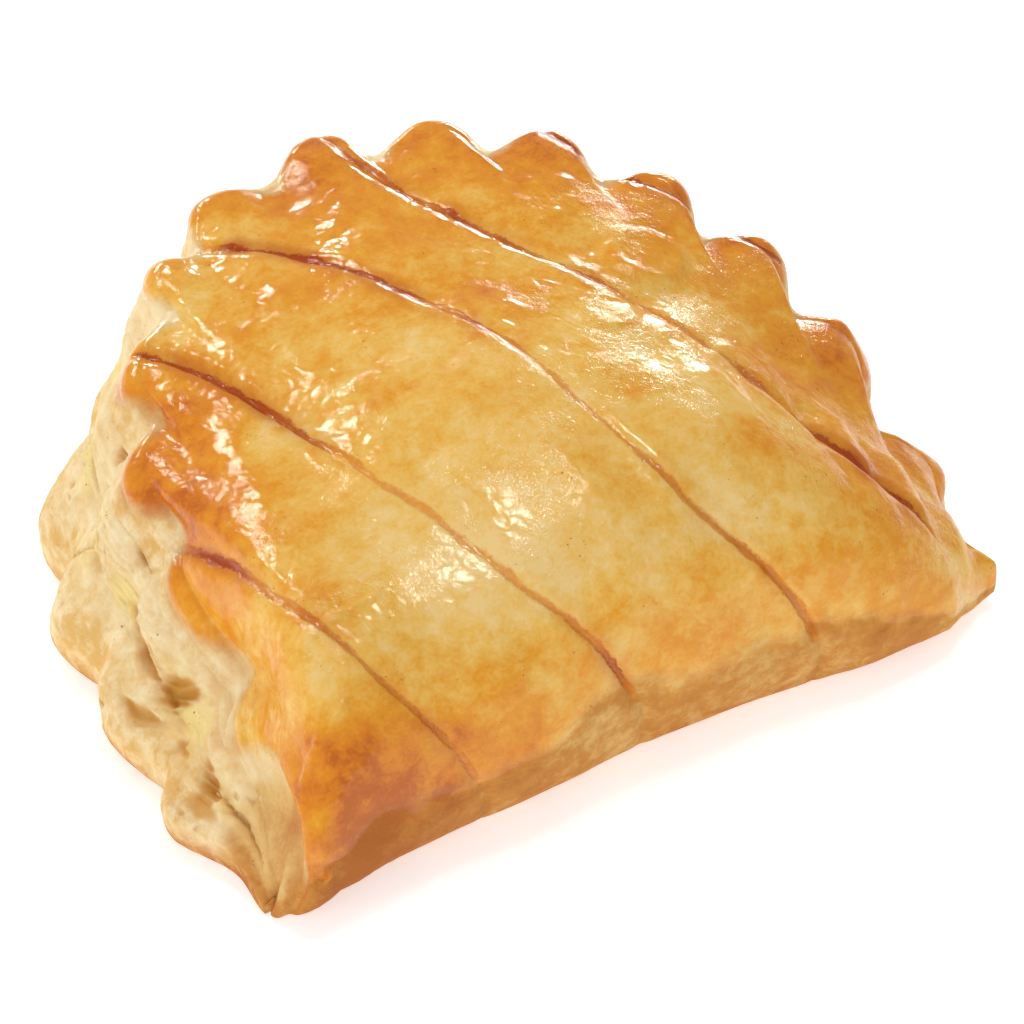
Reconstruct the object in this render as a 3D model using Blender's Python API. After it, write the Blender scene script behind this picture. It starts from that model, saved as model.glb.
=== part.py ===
"""Apple turnover: a half-moon of puff pastry folded along one straight edge, with a scalloped cut edge.

Metres, +Z up. The fold lies along X on the -Y side, the scalloped edge curves round the +Y side,
and the turnover rests on its flat underside. The body is a loft: cross-sections run from the fold
to the cut edge, one after another from the thin right-hand tip to the blunt left-hand corner.
"""

import math

import bmesh
import bpy
import numpy as np

# Plan outline: a superellipse arc standing on the fold line.
FOLD_LENGTH = 0.125
DEPTH = 0.1036
OUTLINE_POWERS = (2.06, 2.57)  # at the thin tip, at the blunt corner
SKEW = -0.0830  # the arc leans this far along X for each metre of depth
TIP_SET_BACK = (0.0065, 0.0055)  # how far each end of the fold curls back in Y
TIP_CURL_LENGTH = (0.016, 0.010)
FOLD_SET_BACK = 0.0052
CORNER_TRIM, CORNER_TRIM_SPAN = 0.0042, 0.05  # the blunt corner is cut back along X

# Scallops left by a fluted cutter.
LOBES = 14
LOBE_REACH = 0.0070
LOBE_SOFTNESS = 0.12
LOBE_MEAN = 0.60
LOBE_DRIFT = (0.0283, 0.0104, -0.0076)  # uneven spacing, as sine terms along the edge

# Profiles along the body, evenly spaced from the thin tip to the blunt corner.
RIM_HEIGHT = (0.0040, 0.0330, 0.0429, 0.0409, 0.0389, 0.0291, 0.0105)
CREST_HEIGHT = (0.0080, 0.0262, 0.0408, 0.0448, 0.0390, 0.0365, 0.0140)
WALL_LEAN = (0.0007, -0.0015, -0.0010, 0.0030, 0.0130, 0.0108, 0.0150)
SHEET_THICKNESS = (0.0030, 0.0057, 0.0045, 0.0060, 0.0060)

# Cross-section.
CREST_AT = 0.42  # from the fold to the shoulder
FOLD_ROUNDNESS = 2.5
FOLD_BULGE = 0.0041
FOLD_TUCK = 0.0015
FOLD_WIDEST_AT = 0.3500  # of the crest height
SHOULDER_RADIUS = 0.0032
LEAN_POWER = 1.6
NOSE_DEPTH = 0.0030
WAIST_AT, WAIST_DEPTH, WAIST_WIDTH = 0.50, 0.0022, 0.14
SEAM_AT, SEAM_DEPTH, SEAM_WIDTH = 0.10, 0.0014, 0.07
FULL_SIZE_FROM = 0.030  # narrower cross-sections than this shrink all of the sizes above

# Parallel score cuts across the top, each a straight line in plan that may bow sideways.
SCORE_ANGLE = math.radians(-60)
SCORES = (  # distance from the fold's middle, sideways bow, depth
    (0.0730, 0.000, 0.0012),
    (0.0530, 0.000, 0.0020),
    (0.0260, 0.000, 0.0018),
    (0.0030, -0.007, 0.0022),
    (-0.0190, -0.006, 0.0022),
    (-0.0440, 0.000, 0.0014),
)
SCORE_WIDTH = 0.0032
SCORE_LENGTH = 0.100
PILLOW_DEPTH = 0.0014
PILLOW_WIDTH = 0.0080
PILLOW_RISE = 0.0010  # the bands between the cuts stand this far above the plain surface

# Facets: cross-sections along the body, and points in each run of a cross-section.
STATIONS = 96
UNDER_FOLD, OVER_FOLD, TOP, SHOULDER, WALL, NOSE, BASE = 3, 10, 20, 2, 8, 2, 3

CRUST = (0.76, 0.42, 0.10)


def along(values, s):
    """A smooth curve (Catmull-Rom) through evenly spaced values, read at s from 0 to 1."""
    padded = np.concatenate([[values[0]], values, [values[-1]]])
    place = np.clip(s, 0, 1) * (len(values) - 1)
    i = np.minimum(place.astype(int), len(values) - 2)
    t = place - i
    a, b, c, d = (padded[i + k] for k in range(4))
    return b + t * (c - a + t * (2 * a - 5 * b + 4 * c - d + t * (3 * (b - c) + d - a))) / 2


def bump(x, centre, width):
    return np.exp(-(((x - centre) / width) ** 2))


def trimmed(plan, s):
    """Plan points moved in X so that the blunt corner is cut back."""
    return plan + np.stack([CORNER_TRIM * bump(s, 1, CORNER_TRIM_SPAN), 0 * s], -1)


def edge_outline(s):
    """Plan points of the cut edge without its scallops, evenly spaced by s, and their outward normals."""
    angle = np.linspace(0, math.pi, 2001)
    blunt = 0.5 - 0.5 * np.cos(angle)
    power = 2 / (OUTLINE_POWERS[0] + (OUTLINE_POWERS[1] - OUTLINE_POWERS[0]) * blunt)
    x = FOLD_LENGTH / 2 * np.sign(np.cos(angle)) * np.abs(np.cos(angle)) ** power
    y = DEPTH * np.sin(angle) ** power
    x += SKEW * y
    y += TIP_SET_BACK[0] + (TIP_SET_BACK[1] - TIP_SET_BACK[0]) * blunt
    length = np.concatenate([[0], np.cumsum(np.hypot(np.diff(x), np.diff(y)))])
    share = length / length[-1]

    def point(at):
        return np.stack([np.interp(at, share, x), np.interp(at, share, y)], -1)

    step = 0.004
    run = point(np.minimum(s + step, 1)) - point(np.maximum(s - step, 0))
    run /= np.linalg.norm(run, axis=-1, keepdims=True)
    return trimmed(point(s), s), np.stack([run[..., 1], -run[..., 0]], -1)


def fold_line(s):
    """Plan points where the folded side meets the ground."""
    x = FOLD_LENGTH / 2 * (0.3 * np.cos(math.pi * s) + 0.7 * (1 - 2 * s))
    y = FOLD_SET_BACK * np.sin(math.pi * s)
    for side, back, curl in zip((1, -1), TIP_SET_BACK, TIP_CURL_LENGTH):
        y += back * np.exp(-(((FOLD_LENGTH / 2 - side * x) / curl) ** 1.3))
    return trimmed(np.stack([x, y], -1), s)


def scallop(s):
    """How far the cut edge stands out at s, from its valleys below 0 to its lobes above 0."""
    for wave, size in enumerate(LOBE_DRIFT, 1):
        s = s + size * np.sin(wave * math.pi * s)
    return LOBE_REACH * (np.sqrt(np.cos(math.pi * LOBES * s) ** 2 + LOBE_SOFTNESS) - LOBE_MEAN)


def section_runs():
    """For each point round a cross-section, the run it lies in and how far along that run it is."""
    counts = (UNDER_FOLD, OVER_FOLD, TOP, SHOULDER, WALL, NOSE, BASE)
    return [(run, i / count) for run, count in enumerate(counts) for i in range(count)]


def surface(s, run, t):
    """The body's surface at station s, t of the way along one run of its cross-section."""
    edge, out = edge_outline(s)
    fold = fold_line(s)
    size = np.clip(np.linalg.norm(edge - fold, axis=-1) / FULL_SIZE_FROM, 0.15, 1)[..., None]
    lobe = (scallop(s)[..., None]) * np.minimum(1, size + 0.2)
    rim, crest, sheet = (along(v, s)[..., None] for v in (RIM_HEIGHT, CREST_HEIGHT, SHEET_THICKNESS))
    lean = along(WALL_LEAN, s)[..., None] * size
    radius = SHOULDER_RADIUS * size
    widest = FOLD_WIDEST_AT * crest
    foot = np.minimum(sheet, 0.4 * rim)
    forward = np.array([0.0, -1.0])
    shoulder = edge + out * (lobe - lean - radius)
    quarter = t * math.pi / 2
    if run == 0:
        plan = fold + forward * size * (FOLD_BULGE * np.sin(quarter) - FOLD_TUCK * (1 - np.sin(quarter)))
        height = widest * (1 - np.cos(quarter))
    elif run == 1:
        reach, rise = np.cos(quarter) ** (2 / FOLD_ROUNDNESS), np.sin(quarter) ** (2 / FOLD_ROUNDNESS)
        plan = fold + forward * size * FOLD_BULGE * reach + (shoulder - fold) * CREST_AT * (1 - reach)
        height = widest + (crest - widest) * rise
    elif run == 2:
        across = CREST_AT + (1 - CREST_AT) * t
        plan = fold + (shoulder - out * lobe - fold) * across + out * lobe * across**3
        height = rim + (crest - rim) * (0.5 + 0.5 * math.cos(math.pi * t))
    elif run == 3:
        plan = shoulder + out * radius * math.sin(quarter)
        height = rim - radius * (1 - math.cos(quarter))
    elif run == 4:
        up = 1 - t
        crease = WAIST_DEPTH * bump(up, WAIST_AT, WAIST_WIDTH) + SEAM_DEPTH * bump(up, SEAM_AT, SEAM_WIDTH)
        plan = edge + out * (lobe - lean * up**LEAN_POWER - crease * size)
        height = foot + (rim - radius - foot) * up
    elif run == 5:
        plan = edge + out * (lobe - NOSE_DEPTH * size * (1 - math.cos(quarter)))
        height = foot * (1 - math.sin(quarter))
    else:
        start, end = edge + out * (lobe - NOSE_DEPTH * size), fold - forward * size * FOLD_TUCK
        plan = start + (end - start) * t
        height = 0 * rim
    return np.concatenate([plan, height], -1)


def score_depth(points):
    """How deep the score cuts and the dips beside them go at each plan point, below 0 on the bands."""
    line = np.array([math.cos(SCORE_ANGLE), math.sin(SCORE_ANGLE)])
    across = points[..., :2] @ np.array([-line[1], line[0]])
    down = np.clip(-(points[..., :2] @ line) / SCORE_LENGTH, 0, 1)
    total = -PILLOW_RISE
    for offset, bow, depth in SCORES:
        away = np.abs(across - offset - bow * np.sin(math.pi * down))
        total = total + depth * np.exp(-((away / SCORE_WIDTH) ** 1.3))
        total = total + PILLOW_DEPTH * bump(away, 0, PILLOW_WIDTH)
    return total


def body_points():
    """Points of every cross-section, as [station, place round the section, axis]."""
    s = np.arange(1, STATIONS) / STATIONS
    points = np.stack([surface(s, run, t) for run, t in section_runs()], 1)
    following, previous = np.roll(points, -1, 1), np.roll(points, 1, 1)
    outward = np.cross(following - previous, np.gradient(points, axis=0))
    outward /= np.linalg.norm(outward, axis=-1, keepdims=True)
    scored = np.array([run < 4 for run, t in section_runs()]) * np.clip(points[..., 2] / 0.004, 0, 1)
    scored = scored * np.clip(np.minimum(s, 1 - s) / 0.05, 0, 1)[:, None]
    points -= outward * (score_depth(points) * scored)[..., None]
    return points


def make_body():
    """A sphere's rings become the cross-sections, and its two poles become the tips."""
    points = body_points()
    around = points.shape[1]
    bm = bmesh.new()
    bmesh.ops.create_uvsphere(bm, u_segments=around, v_segments=STATIONS, radius=1)
    tips = [points[i].mean(0) + (points[i].mean(0) - points[j].mean(0)) * 0.4 for i, j in ((0, 1), (-1, -2))]
    for vert in bm.verts:
        station = round(math.acos(max(-1, min(1, vert.co.z))) / math.pi * STATIONS)
        place = round(math.atan2(vert.co.y, vert.co.x) / math.tau * around) % around
        if 0 < station < STATIONS:
            vert.co = points[station - 1, place]
        else:
            vert.co = tips[0 if station == 0 else 1]
    bmesh.ops.recalc_face_normals(bm, faces=bm.faces)
    bmesh.ops.triangulate(bm, faces=bm.faces)
    mesh = bpy.data.meshes.new("turnover")
    bm.to_mesh(mesh)
    bm.free()
    return mesh


def centre_footprint(mesh):
    """Puts the origin under the middle of the body's box."""
    corners = np.array([vert.co for vert in mesh.vertices])
    low, high = corners.min(0), corners.max(0)
    for vert in mesh.vertices:
        vert.co.x -= (low[0] + high[0]) / 2
        vert.co.y -= (low[1] + high[1]) / 2
        vert.co.z -= low[2]


def crust_material():
    material = bpy.data.materials.new("crust")
    material.use_nodes = True
    shader = material.node_tree.nodes["Principled BSDF"]
    shader.inputs["Base Color"].default_value = (*CRUST, 1)
    shader.inputs["Roughness"].default_value = 0.35
    shader.inputs["Metallic"].default_value = 0
    return material


def main():
    for obj in list(bpy.data.objects):
        bpy.data.objects.remove(obj)
    mesh = make_body()
    centre_footprint(mesh)
    mesh.materials.append(crust_material())
    mesh.shade_smooth()
    bpy.context.scene.collection.objects.link(bpy.data.objects.new("turnover", mesh))


main()
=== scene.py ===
"""An apple turnover: a half-moon of glazed puff pastry, folded over and cut with a fluted cutter.

Lengths are in metres and +Z is up. The fold runs along X on the -Y side, and the scalloped edge
curves round the +Y side. A station s runs from 0 at the thin tip to 1 at the blunt corner.
"""

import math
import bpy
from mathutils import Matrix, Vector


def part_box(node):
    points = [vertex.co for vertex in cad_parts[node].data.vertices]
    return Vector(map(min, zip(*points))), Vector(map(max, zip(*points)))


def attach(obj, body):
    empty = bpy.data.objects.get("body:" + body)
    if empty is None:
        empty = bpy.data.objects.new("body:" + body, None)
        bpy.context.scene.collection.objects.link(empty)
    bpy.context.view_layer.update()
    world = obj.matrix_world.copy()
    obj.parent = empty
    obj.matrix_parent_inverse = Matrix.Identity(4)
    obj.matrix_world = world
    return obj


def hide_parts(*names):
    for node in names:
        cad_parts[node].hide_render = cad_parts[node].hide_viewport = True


bl_info = {
    "name": "Apple Turnover",
    "version": (1, 0, 0),
    "blender": (4, 5, 0),
    "location": "View3D > Sidebar > Turnover",
    "description": "A folded puff-pastry turnover with a glazed crust and a laminated cut edge",
    "category": "Add Mesh",
}

import bmesh
import bpy
import numpy as np
from bpy.props import FloatProperty, FloatVectorProperty, PointerProperty
from mathutils import Matrix, Vector

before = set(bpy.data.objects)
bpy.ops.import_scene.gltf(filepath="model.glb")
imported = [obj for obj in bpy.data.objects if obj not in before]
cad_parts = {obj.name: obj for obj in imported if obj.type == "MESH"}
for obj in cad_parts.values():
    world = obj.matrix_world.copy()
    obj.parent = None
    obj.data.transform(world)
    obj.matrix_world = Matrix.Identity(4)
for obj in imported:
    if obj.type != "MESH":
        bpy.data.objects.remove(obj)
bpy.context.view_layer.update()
CAD_LOW, CAD_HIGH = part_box("turnover")
MM = 0.001

# ------ form: profiles from tip to corner

OUTLINE_POWERS = (2.06, 2.57)
SET_BACKS = (0.0065, 0.0055)  # how far the tip and the corner stand back from the fold
TIP_CURL_LENGTH, CORNER_TURN = 0.016, 0.013
LOBE_SOFTNESS, RIM_SOFTNESS = 0.12, 0.2
RIM_HEIGHT = (0.004, 0.033, 0.0429, 0.0409, 0.0389, 0.0291, 0.0105)
CREST_HEIGHT = (0.008, 0.0262, 0.0408, 0.0448, 0.039, 0.035, 0.014)
WALL_LEAN = (0.0007, -0.0015, -0.001, 0.003, 0.013, 0.0108, 0.015)
RIM_LOBES = (1.0, 1.0, 1.0, 1.0, 0.8, 0.5, 0.3)
SHEET_THICKNESS = (0.003, 0.0057, 0.0045, 0.006, 0.006)
CREST_AT = 0.42
FOLD_ROUNDNESS = 2.5
FOLD_TUCK = 0.0015
FOLD_WIDEST_AT = 0.35
LEAN_POWER = 1.25
LOBES_FADE = 0.5  # how much the scallops fade halfway up
NOSE_DEPTH = 0.0018
TIP_LIFT, TIP_LIP = 0.005, 0.008
FULL_SIZE_FROM = 0.03
STEEP_FALL = (0.74, 0.84)
STEEP_SOFTER = 0.35  # how much rounder the shoulder is where the top falls steeply
STEEPEST = 0.8  # the top's largest slope at the rim, in radians
CORNER_FROM, CORNER_LEFT = 0.945, 0.3  # where the corner rounds down, and to what share
CORNER_PUSH = 0.0011  # how far the blunt corner bulges, along each axis
CORNER_BACK = 0.16  # how much the blunt corner leans along the fold
HIDDEN = 0.0078  # how far in from the cut edge the crust goes down
CORNER_STATIONS = (0.9895, 0.991, 0.9925, 0.9938, 0.995, 0.9961, 0.9971, 0.998, 0.9987)
LAST_STATIONS = (0.9993, 0.9997)
SCORE_ANGLE = math.radians(-60)

# scallops of the cut edge from tip to corner: station of a notch and how far in it goes, then
# station of the lobe that follows it and how far out that stands, in millimetres
SCALLOPS = (
    (0.036, -1.4, 0.068, 3.6), (0.096, -2.2, 0.13, 3.6), (0.16, -2.0, 0.193, 3.3),
    (0.222, -3.2, 0.258, 3.4), (0.288, -2.9, 0.325, 3.1), (0.355, -4.2, 0.391, 1.3),
    (0.427, -4.0, 0.458, 2.9), (0.498, -1.8, 0.538, 1.9), (0.579, -3.0, 0.612, 1.6),
    (0.652, -2.2, 0.706, 2.6), (0.75, -2.0, 0.781, 2.9), (0.826, -1.7, 0.856, 1.6),
    (0.911, -1.2, 0.936, 3.0), (0.974, 0.7, 1.0, 0.8),
)
# how far the foot of the fold stands back from its plain curve, tip to corner, in millimetres
FOLD_DENTS = (0.4, 0.6, 0.4, 1.3, 1.1, 0.3, 1.1, 0.9, -0.5)
TIP_BEAK = 0.002  # how far the raised tip is drawn out

# score cuts: where the front end is, then place across the cuts in millimetres, depth in
# millimetres and toasting, each at even steps from past the fold to the rim at the back
SCORES = (
    (0.019, (76, 76, 75, 74, 75, 80, 90), (0.9, 0.9, 1.0, 1.2, 1.2, 1.0, 1.0),
     (0.6, 0.7, 0.75, 0.8, 0.8, 0.8, 0.8)),
    (-0.0175, (49, 46.5, 48, 48, 49.5, 53.5, 61), (1.6, 1.4, 0.7, 0.6, 0.7, 0.9, 1.1),
     (1.0, 0.75, 0.35, 0.5, 0.7, 0.75, 0.55)),
    (-0.04, (19, 17.4, 20.8, 27.2, 31, 32, 26), (1.4, 1.1, 0.6, 0.6, 0.9, 1.3, 1.1),
     (0.45, 0.5, 0.3, 0.4, 0.8, 1.0, 0.7)),
    (-0.006, (-8, -8.5, -7.3, -3.9, 0.9, 5.2, 4), (1.8, 1.5, 0.6, 0.6, 1.1, 1.5, 1.3),
     (0.75, 0.65, 0.2, 0.1, 0.75, 1.0, 0.95)),
    (-0.04, (-30, -30, -30.3, -28, -21, -15.5, -12), (1.7, 1.4, 0.8, 0.8, 1.3, 1.5, 1.3),
     (0.45, 0.5, 0.5, 0.45, 0.9, 1.0, 0.8)),
    (-0.04, (-50,) * 7, (1.6, 1.5, 1.0, 0.1, 0, 0, 0),
     (0.6, 0.6, 0.5, 0.1, 0, 0, 0)),
)
SCORE_FROM, SCORE_TO = -0.02, 0.1  # the first and last of those steps
SCORE_STOP = 0.094
SCORE_SPACING = 0.026
SCORE_LEAN, LEAN_BELOW = 0.33, 0.006  # drift of a cut down the fold, once it is this far down

# toasted and pale places on the crust, a few pale ones partly painted sheen: X, Y and radius in
# millimetres, and how much browner
TONE_AND_SHEEN_PATCHES = (
    (-48, -56, 10, 0.22), (-51, -49, 5, 0.45), (-46, -54, 5, 0.25), (-46, -45, 6, -0.5),
    (-44, -54, 9, 0.28), (-35, -55, 9, 0.26), (-25, -55, 6, 0.16), (-44, -40, 5, 0.22),
    (-40, -32, 6, 0.22), (-50, -19, 6, 0.22), (-51, -3, 5, 0.45), (-37, 19, 10, 0.12),
    (-42, -2, 9, 0.22), (-45, -12, 9, 0.14), (-33, -2, 5, -0.32), (-25, -20, 4, -0.18),
    # (-32, 34), (-32, 22) and (-17, 39) lie on the upper-left lobes where the glaze glints: paler
    # crust there that partly paints the glints' sheen
    (-20, -38, 9, -0.26), (-32, -49, 4, -0.16), (-32, 34, 7, -0.36), (-32, 22, 7, -0.42),
    (-17, 39, 8, -0.45), (-35, 11, 4, 0.2), (-12, 20, 5, 0.24), (-18, 10, 4, -0.18),
    (-5, 0, 5, -0.2), (8, 6, 5, 0.26), (-6, 41, 8, 0.24), (8, 22, 9, 0.16),
    (18, -23, 5, 0.16), (28, -27, 7, -0.16), (37, -23, 5, 0.26), (47, -40, 9, 0.34),
    (48, -20, 10, 0.38), (30, -34, 5, 0.26), (13, -32, 8, 0.1), (8, -39, 5, 0.18),
    (22, -48, 8, -0.18), (30, -49, 7, -0.18), (2, -44, 8, -0.22), (-16, -55, 9, 0.28),
    (1, -54, 8, 0.14), (43, -54, 14, 0.28), (26, -55, 12, 0.22), (9, -54, 10, 0.18),
    (-32, -58, 9, 0.22), (56, -54, 10, -0.25), (-53, -41, 5, 0.22),
)

# blisters that stand out: X, Y, radius and height in millimetres
BLISTERS = ((34.5, 4.7, 7.5, 0.8), (36, -20, 6, 0.4), (22, -6, 5, 0.35), (-50, -28, 3, 0.5))

# raised wrinkles: X and Y of both ends, half width and height in millimetres
WRINKLES = ((-52, -50, -44.5, -48, 0.7, 0.45), (-45, -38, -33, -36, 0.6, 0.35))

# hollows between the layers of the cut edge: station, share of the height, half length and half
# height in millimetres, rise along the edge, and depth in millimetres
HOLLOWS = (
    (0.818, 0.8, 3.6, 1.7, -0.35, 2.6), (0.742, 0.8, 1.8, 2.0, 0.0, 1.5),
    (0.724, 0.62, 3.5, 0.8, -0.3, 1.2), (0.887, 0.64, 4.6, 2.2, 0.05, 2.4),
    (0.878, 0.42, 6.5, 1.3, 0.06, 1.8), (0.912, 0.5, 2.5, 0.8, -0.2, 1.3),
    (0.943, 0.58, 6.0, 1.2, -0.45, 1.4), (0.757, 0.35, 7.0, 0.7, 1.5, 1.1),
    (0.845, 0.25, 3.5, 0.6, 0.3, 0.8),
)
MORE_HOLLOWS = 16  # drawn at random between these two
SMALLEST_HOLLOW = (0.06, 0.3, 2.0, 0.6, -0.3, 0.8)
LARGEST_HOLLOW = (0.7, 0.75, 6.0, 1.4, 0.3, 2.2)

# runs of a cross-section in order, and what is tucked inside the cut edge
UNDER, OVER, TOP, SHOULDER, WALL, NOSE, BASE = range(7)
INSIDE = -1


def shade(*channels):
    """A display colour, 0 to 255 a channel, as the linear colour that a shader takes."""
    parts = (channel / 255 for channel in channels)
    return tuple(c / 12.92 if c <= 0.04045 else ((c + 0.055) / 1.055) ** 2.4 for c in parts)


def number_of(name, default, description, **settings):
    return FloatProperty(name=name, description=description, default=default, **settings)


def size_of(name, default, description):
    return number_of(name, default, description, unit="LENGTH", precision=4)


def colour_of(name, default, description):
    settings = {"default": shade(*default), "subtype": "COLOR", "min": 0, "max": 1}
    return FloatVectorProperty(name=name, description=description, **settings)


class TurnoverForm(bpy.types.PropertyGroup):
    fold_length: size_of("Fold length", 0.125, "Folded edge, from tip to corner")
    depth: size_of("Depth", 0.1036, "From the fold to the scalloped edge")
    set_back: size_of("Fold set back", 0.0052, "How far the fold's foot stands in")
    corner_trim: size_of("Corner trim", 0.0042, "How far the blunt corner is cut back")
    skew: number_of("Skew", -0.083, "Lean of the curved edge along the fold")
    scallop_size: number_of("Scallop size", 1.0, "Times the scallops' own size")
    fold_bulge: size_of("Fold bulge", 0.0041, "Swell of the folded side over its foot")
    shoulder: size_of("Shoulder radius", 0.0032, "Rounding between the top and the cut edge")
    pillow: size_of("Pillow depth", 0.0007, "Dip beside each score cut")
    pillow_width: size_of("Pillow width", 0.006, "Reach of that dip")
    score_width: size_of("Score width", 0.0008, "Half width of a score cut")
    puff: size_of("Puff", 0.0009, "Height of the crust's broad swells")
    blister: size_of("Blister height", 0.00032, "Height of the largest blisters")
    wrinkle: size_of("Wrinkle height", 0.00009, "Height of the glaze's fine wrinkles")
    waist: size_of("Waist depth", 0.0028, "Crease between the two sheets")
    leaf: size_of("Layer depth", 0.00045, "Relief of the cut edge's layers")


class TurnoverColours(bpy.types.PropertyGroup):
    palest: colour_of("Palest crust", (250, 212, 138), "Glazed crust where it browned least")
    yellow: colour_of("Yellow crust", (246, 193, 90), "Glazed crust in the middle")
    golden: colour_of("Golden crust", (239, 161, 40), "Glazed crust towards the rim")
    orange: colour_of("Deep golden crust", (229, 136, 31), "Glazed crust at the rim")
    toasted: colour_of("Toasted crust", (202, 104, 28), "Patches that caught the heat")
    burnt: colour_of("Score colour", (174, 62, 6), "Caramel in the score cuts")
    matte: colour_of("Folded side", (208, 143, 66), "Unglazed crust along the fold")
    blond: colour_of("Folded side, palest", (228, 184, 110), "Unglazed side where it browned least")
    tan: colour_of("Folded side, baked", (182, 106, 42), "Unglazed side where it browned most")
    tray: colour_of("Underside", (206, 150, 86), "Crust that lay on the tray")
    cream: colour_of("Cut pastry", (250, 230, 184), "Pale layers of the cut edge")
    fawn: colour_of("Cut pastry, baked", (230, 184, 108), "Freckles of the cut edge")
    # the hollows' amber is partly the pastry's own colour and partly painted shade in its recesses
    amber_and_shade: colour_of("Hollows", (214, 156, 72), "Creases between the layers")
    moist: colour_of("Moist layers", (246, 220, 140), "Buttery layers near the waist")


# ------ fields


def along(values, s):
    """A smooth curve (Catmull-Rom) through evenly spaced values, read at s from 0 to 1."""
    padded = np.concatenate([[values[0]], values, [values[-1]]])
    place = np.clip(s, 0, 1) * (len(values) - 1)
    i = np.minimum(place.astype(int), len(values) - 2)
    t = place - i
    a, b, c, d = (padded[i + k] for k in range(4))
    return b + t * (c - a + t * (2 * a - 5 * b + 4 * c - d + t * (3 * (b - c) + d - a))) / 2


def between(start, end, share):
    """From start to end by a share from 0 to 1."""
    return start + (end - start) * share


def bump(x, centre, width):
    """1 at the centre, falling to nothing about two widths away."""
    return np.exp(-(((x - centre) / width) ** 2))


def ease(x, start, end):
    """0 before start and 1 after end, with a smooth step between."""
    t = np.clip((x - start) / (end - start), 0, 1)
    return t * t * (3 - 2 * t)


def lattice(cell, seed):
    """Three repeatable pseudo-random numbers from -1 to 1 for each whole-numbered cell."""
    word = np.uint32
    x, y, z = (cell[..., k].astype(word) for k in range(3))
    h = x * word(374761393) + y * word(668265263) + z * word(2246822519)
    h = h + word(seed * 3266489917 % 2**32)
    h = (h ^ (h >> word(15))) * word(2246822519)
    h = (h ^ (h >> word(13))) * word(3266489917)
    h = h ^ (h >> word(16))
    return np.stack([(h >> word(10 * k)) & word(1023) for k in range(3)], -1) / 511.5 - 1


def noise(points, size, seed, stretch=(1, 1, 1)):
    """A smooth random field, about -1 to 1, whose lumps are about size millimetres across."""
    place = points / (size * MM * np.array(stretch)) + 1000.5
    cell = np.floor(place).astype(np.int64)
    t = place - cell
    fade = t * t * t * (t * (t * 6 - 15) + 10)
    total = 0
    for corner in np.ndindex(2, 2, 2):
        corner = np.array(corner)
        weight = np.prod(np.where(corner, fade, 1 - fade), -1)
        total += weight * np.sum(lattice(cell + corner, seed) * (t - corner), -1)
    return total * 1.6


def layered_noise(points, size, seed, octaves):
    return sum(noise(points, size / 2**k, seed + 31 * k) / 2**k for k in range(octaves)) / 1.6


def domes(points, rows):
    """Round swellings on plan points, from rows of X, Y, radius and height at the centre."""
    total = np.zeros(points.shape[:-1])
    for x, y, radius, height in rows:
        square = ((points[..., 0] - x) ** 2 + (points[..., 1] - y) ** 2) / radius**2
        total += height * np.clip(1 - square, 0, 1) ** 1.5
    return total


def distance(points, x, y):
    """How many millimetres plan points are from X and Y."""
    return np.hypot(points[..., 0] / MM - x, points[..., 1] / MM - y)


# ------ the turnover's surface


def edge_outline(form, s):
    """Plan points of the cut edge without its scallops, their outward normals, and its length."""
    angle = np.linspace(0, math.pi, 2001)
    blunt = 0.5 - 0.5 * np.cos(angle)
    power = 2 / between(*OUTLINE_POWERS, blunt)
    x = form.fold_length / 2 * np.sign(np.cos(angle)) * np.abs(np.cos(angle)) ** power
    y = form.depth * np.sin(angle) ** power
    x += form.skew * y
    y += between(*SET_BACKS, blunt)
    length = np.concatenate([[0], np.cumsum(np.hypot(np.diff(x), np.diff(y)))])
    share = length / length[-1]

    def point(at):
        return np.stack([np.interp(at, share, x), np.interp(at, share, y)], -1)

    step = 0.004
    run = point(np.minimum(s + step, 1)) - point(np.maximum(s - step, 0))
    run /= np.linalg.norm(run, axis=-1, keepdims=True)
    return point(s), np.stack([run[..., 1], -run[..., 0]], -1), length[-1]


def fold_line(form, s):
    """Plan points where the folded side meets the ground."""
    x = form.fold_length / 2 * (0.3 * np.cos(math.pi * s) + 0.7 * (1 - 2 * s))
    y = form.set_back * np.sin(math.pi * s) + along(FOLD_DENTS, s) * MM
    tip_away, corner_away = (form.fold_length / 2 - side * x for side in (1, -1))
    y += SET_BACKS[0] * np.exp(-((tip_away / TIP_CURL_LENGTH) ** 1.3))
    y += SET_BACKS[1] * (1 - np.sqrt(1 - np.clip(1 - corner_away / CORNER_TURN, 0, 1) ** 2))
    return np.stack([x, y], -1)


def lobe_phase(s):
    """Rises by 1 from each lobe to the next and is a whole number at their middles."""
    stations = [0] + [station for row in SCALLOPS for station in (row[0], row[2])]
    return np.interp(s, stations, np.arange(len(stations)) / 2)


def lobe_wave(s):
    """1 at the middle of each lobe of the cut edge and 0 in each notch."""
    return np.cos(math.pi * lobe_phase(s)) ** 2


def scallop(form, s, softness):
    """How far out the cut edge stands from its plain curve."""
    notches, lobes = [row[1] for row in SCALLOPS], [0] + [row[3] for row in SCALLOPS]
    phase = lobe_phase(s)
    low = np.interp(phase, np.arange(len(notches)) + 0.5, notches)
    high = np.interp(phase, np.arange(len(lobes)), lobes)
    rise = np.sqrt(lobe_wave(s) + softness) - math.sqrt(softness)
    rise /= math.sqrt(1 + softness) - math.sqrt(softness)
    return form.scallop_size * MM * between(low, high, rise)


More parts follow.
